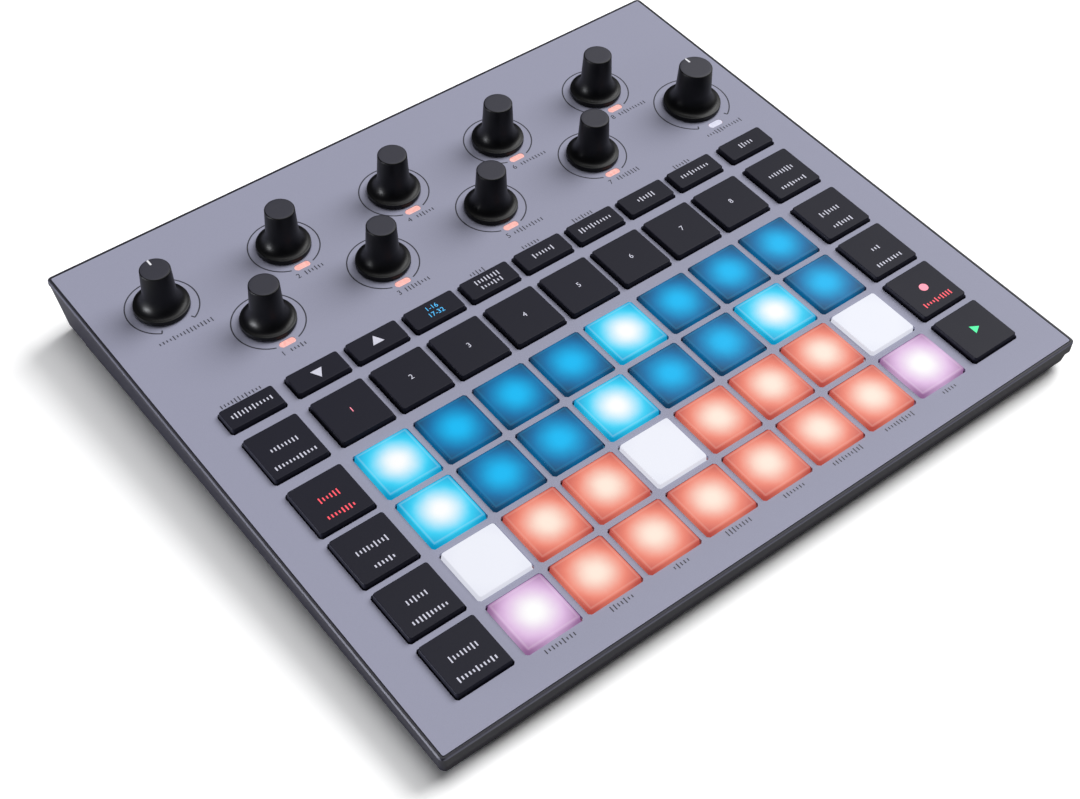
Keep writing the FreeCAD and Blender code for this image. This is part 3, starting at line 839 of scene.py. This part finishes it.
def bar_row(name, length, tallest, spot, material, width=plain_line):
    """A row of level bars, as long as asked in millimetres."""
    place, body = spot
    count = round(length * mm / bar_step)
    bars = []
    for index in range(count):
        tall = tallest * dice.choice((0.5, 0.62, 0.75, 1.0))
        half = Vector((width / 2, tall / 2, film_height / 2))
        bar = box_piece("bar_model", -half, half)
        along = (index - (count - 1) / 2) * bar_step
        bar.data.transform(Matrix.Translation((along, 0, 0)))
        bars.append(bar)
    model = joined(name, bars)
    model.data.materials.append(material)
    row = copied(model, name, place + Vector((0, 0, film_height / 2)))
    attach(row, body)
    discard(model)


def shape_print(name, corners, radius, spot, material, turn):
    """A filled regular shape, such as an arrow or a disc."""
    place, body = spot
    start()
    bpy.ops.mesh.primitive_circle_add(vertices=corners, radius=radius, fill_type="NGON")
    shape = bpy.context.object
    bpy.ops.object.mode_set(mode="EDIT")
    bpy.ops.mesh.select_all(action="SELECT")
    lift = {"value": (0, 0, film_height)}
    bpy.ops.mesh.extrude_region_move(TRANSFORM_OT_translate=lift)
    bpy.ops.mesh.select_all(action="SELECT")
    bpy.ops.mesh.normals_make_consistent(inside=False)
    bpy.ops.object.mode_set(mode="OBJECT")
    shape.data.materials.append(material)
    sign = copied(shape, name, place, turn)
    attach(sign, body)
    discard(shape)


print("print helpers ready")

# %% [markdown]
# The marks on the keys are pale ink, and a few glow in the colour of what they start.
# They ride on the keys, so that they sink with them.

# %% Marks on the keys
small_bar, top_bar, main_bar = 1.9 * mm, 2.1 * mm, 2.2 * mm
pair_line = 1.35
main_line = 0.8
low_line = -5.5

ink_white = printed_ink("ink_white", ink(206, 206, 222), 0.12)
ink_red = printed_ink("ink_red", ink(244, 78, 92), 0.45)
ink_pink = printed_ink("ink_pink", ink(250, 140, 160), 0.45)
ink_green = printed_ink("ink_green", ink(60, 226, 148), 0.45)
ink_blue = printed_ink("ink_blue", ink(70, 176, 236), 0.45)


for index in range(1, 9):
    node = "track_key_%d" % index
    colour = ink_pink if index == 1 else ink_white
    numeral(node + "_numeral", str(index), 2.7 * mm, on_key(node), colour)
for node, turn in (("top_key_2", math.pi), ("top_key_3", 0.0)):
    shape_print(node + "_arrow", 3, 2.3 * mm, on_key(node), ink_white, turn)
shape_print("play_mark", 3, 1.9 * mm, on_key("right_key_5"), ink_green, -math.pi / 2)
shape_print("record_mark", 40, 1.5 * mm, on_key("right_key_4", 0.6), ink_pink, 0.0)
numeral("page_numeral_1", "1-16", 2.5 * mm, on_key("top_key_4", pair_line), ink_blue)
numeral("page_numeral_2", "17-32", 2.5 * mm, on_key("top_key_4", -pair_line), ink_blue)

top_lengths = {1: 15.0, 6: 8.0, 7: 13.5, 8: 7.0, 9: 12.0, 10: 6.5}
for number, length in top_lengths.items():
    node = "top_key_%d" % number
    bar_row(node + "_bars", length, top_bar, on_key(node), ink_white)
for part, length, y in ((1, 10.0, pair_line), (2, 8.5, -pair_line)):
    bar_row("top_key_5_bars_%d" % part, length, small_bar, on_key("top_key_5", y), ink_white)
side_lengths = {
    "left": ((9.5, 14.0), (7.0, 9.0), (10.5, 7.0), (7.0, 12.5), (10.0, 13.0)),
    "right": ((11.0, 10.5), (8.5, 8.0), (3.5, 11.0)),
}
for side, lengths in side_lengths.items():
    for number, (main, second) in enumerate(lengths, 1):
        node = "%s_key_%d" % (side, number)
        colour = ink_red if node == "left_key_2" else ink_white
        bar_row(node + "_bars_1", main, main_bar, on_key(node, main_line), colour)
        bar_row(node + "_bars_2", second, small_bar, on_key(node, low_line), colour, bold_line)
bar_row("record_bars", 12.0, small_bar, on_key("right_key_4", low_line), ink_red, bold_line)
print("keys marked")

# %% [markdown]
# The captions on the panel are dark and thinner. They stand under the knobs, in front
# of the pads and behind some of the upper keys, and the macro knobs are numbered.

# %% Captions on the panel
under_lamp = 3.3 * mm
before_pads = 1.6 * mm
behind_keys = 1.5 * mm

volume_at = middle("volume_knob")
captions = [("volume", 19.5, volume_at.x + 0.5 * mm, volume_at.y - 13.6 * mm)]
macro_lengths = (6.0, 7.0, 9.0, 7.5, 11.5, 11.0, 10.0, 12.0)
for number, (lamp, length) in enumerate(zip(lamps, macro_lengths), 1):
    y = lamp.y - under_lamp
    spot = on_panel(lamp.x - 3.4 * mm, y)
    numeral("macro_numeral_%d" % number, str(number), 2.8 * mm, spot, ink_dark)
    captions.append(("macro_%d" % number, length, lamp.x - 1.2 * mm + length * mm / 2, y))
captions.append(("filter", 16.0, lamps[-1].x + 1.0 * mm, lamps[-1].y - under_lamp))
for number, length in enumerate((11.0, 8.0, 6.0, 10.0, 8.0, 11.5, 12.5, 6.5), 1):
    x = middle("track_key_%d" % number).x
    captions.append(("pad_%d" % number, length, x, boxes["pad_row_4"][0].y - before_pads))
for number, length in ((1, 14.0), (5, 5.5), (6, 7.0), (7, 8.5), (9, 7.0)):
    node = "top_key_%d" % number
    y = boxes[node][1].y + behind_keys
    captions.append(("key_%d" % number, length, middle(node).x, y))
for name, length, x, y in captions:
    bar_row(name + "_caption", length, small_bar, on_panel(x, y), ink_dark, thin_line)
print(len(captions), "captions printed")

# %% [markdown]
# The inner parts get plain but true finishes, because they show when the model is
# opened or turned.

# %% Finishes of the inner parts
board_green = moulded("board_green", ink(22, 92, 58), 0.45, 1 / (1.5 * mm), 0.01 * mm)
dress(board_green, "main_board", "pad_board", "knob_board")
socket_black = moulded("socket_black", ink(26, 26, 28), 0.3, 1 / (0.6 * mm), 0.005 * mm)
dress(socket_black, "line_jacks", "mini_jacks", "power_switch")
rubber = moulded("feet_rubber", ink(30, 30, 31), 0.75, 1 / (0.5 * mm), 0.03 * mm)
dress(rubber, "rubber_feet")
silicone = moulded("mat_silicone", ink(205, 205, 210), 0.5, 1 / (0.5 * mm), 0.01 * mm)
dress(silicone, "pad_mat")
film = moulded("battery_wrap", ink(60, 84, 130), 0.35, 1 / (2.0 * mm), 0.02 * mm)
dress(film, "battery")
metal = Finish("metal_bright", Metallic=1.0)
brushed = metal.noise(1 / (0.3 * mm), 4.0, 0.6)
metal.feed(Base_Color=metal.mix(brushed, ink(178, 178, 182), ink(204, 204, 208)))
metal.feed(Roughness=0.25 + brushed * 0.15)
dress(metal.material, "knob_encoders", "screws", "usb_socket", "card_socket")
print("inner parts dressed")

# %% [markdown]
# Every round socket at the back has a collar that the plug meets. Its size and place
# come from the socket's mount in the record, and its mouth faces the back.

# %% Collars of the sockets
wall_share = 0.32
collar_back, collar_front = -0.8 * mm, 0.25 * mm
collar_steps = 48

for mount in frame["record"]["mounts"]:
    if "jack" not in mount["name"]:
        continue
    dims = mount["dims"]
    bore = dims["r_mm"] * mm
    depth = dims["length_mm"] * mm
    outer = bore + bore * wall_share
    section = [(bore, collar_back), (outer, collar_back), (outer, collar_front - 0.15 * mm)]
    section += [(outer - 0.15 * mm, collar_front), (bore + 0.2 * mm, collar_front)]
    section += [(bore, collar_front - 0.2 * mm), section[0]]
    collar = turned("collar_model", section, collar_steps)
    collar.data.materials.append(socket_black if bore < 3 * mm else metal.material)
    mouth = Vector(mount["pos_m"]) + Vector((0, depth / 2, 0))
    lay = Matrix.Translation(mouth) @ Matrix.Rotation(-math.pi / 2, 4, "X")
    collar.data.transform(lay)
    collar.name = mount["name"] + "_collar"
    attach(collar, "case")
print("collars set in the sockets")

# %% [markdown]
# The studio is a white sweep. The floor is a large plane that keeps the machine's
# shadow. Both the floor and the world look white to the camera and are darker for the
# light that falls on the machine, so that the shadow on the left stays deep.

# %% Floor and world
floor_size = 2.4
floor_seen, floor_felt = 1.3, 0.7
world_light = 0.07

bpy.ops.mesh.primitive_plane_add(size=floor_size, location=(0, 0, 0))
floor = bpy.context.object
floor.name = "studio_floor"
floor_finish = Finish("floor_white", Roughness=0.95, Specular_IOR_Level=0.1)
paper = floor_finish.noise(3.0, 2.0, 0.5)
seen = floor_finish.add("ShaderNodeLightPath")
white = (floor_seen,) * 3 + (1,)
warmer = (floor_seen + 0.01,) * 3 + (1,)
white_paper = floor_finish.mix(paper, white, warmer)
floor_finish.feed(Base_Color=floor_finish.mix(seen, (floor_felt,) * 3 + (1,), white_paper))
floor.data.materials.append(floor_finish.material)

world = bpy.data.worlds.new("studio_world")
bpy.context.scene.world = world
world.use_nodes = True
sky = world.node_tree.nodes["Background"]
sky.inputs["Color"].default_value = (1.0, 1.0, 1.0, 1.0)
ray = world.node_tree.nodes.new("ShaderNodeLightPath")
level = world.node_tree.nodes.new("ShaderNodeMapRange")
level.inputs["To Min"].default_value = world_light
level.inputs["To Max"].default_value = 1.0
world.node_tree.links.new(ray.outputs["Is Camera Ray"], level.inputs["Value"])
world.node_tree.links.new(level.outputs[0], sky.inputs["Strength"])
print("studio ready")

# %% [markdown]
# One large soft lamp stands on the right and makes the deep shadow on the left. A low
# one on the left lights the side wall without reaching far over the floor, and a wide
# one overhead keeps the panel even.

# %% Studio lamps


def soft_lamp(name, place, size, power):
    data = bpy.data.lights.new(name, "AREA")
    data.shape = "DISK"
    data.size = size
    data.energy = power
    light = bpy.data.objects.new(name, data)
    bpy.context.scene.collection.objects.link(light)
    light.location = place
    light.rotation_mode = "QUATERNION"
    light.rotation_quaternion = (-Vector(place)).to_track_quat("-Z", "Y")
    return light


soft_lamp("key_lamp", (4.8, 0.2, 5.0), 5.0, 440.0)
soft_lamp("top_lamp", (0.6, 0.2, 6.0), 4.0, 120.0)
side_lamp = soft_lamp("side_lamp", (-1.3, 0.35, 0.07), 0.7, 18.0)
side_lamp.data.shape = "ELLIPSE"
side_lamp.data.size_y = 0.12
side_lamp.data.color = (0.93, 0.95, 1.0)
print("lamps set")

# %% [markdown]
# At the end the colours are shown through the Standard view transform.

# %% Finish
bpy.context.scene.view_settings.view_transform = "Standard"
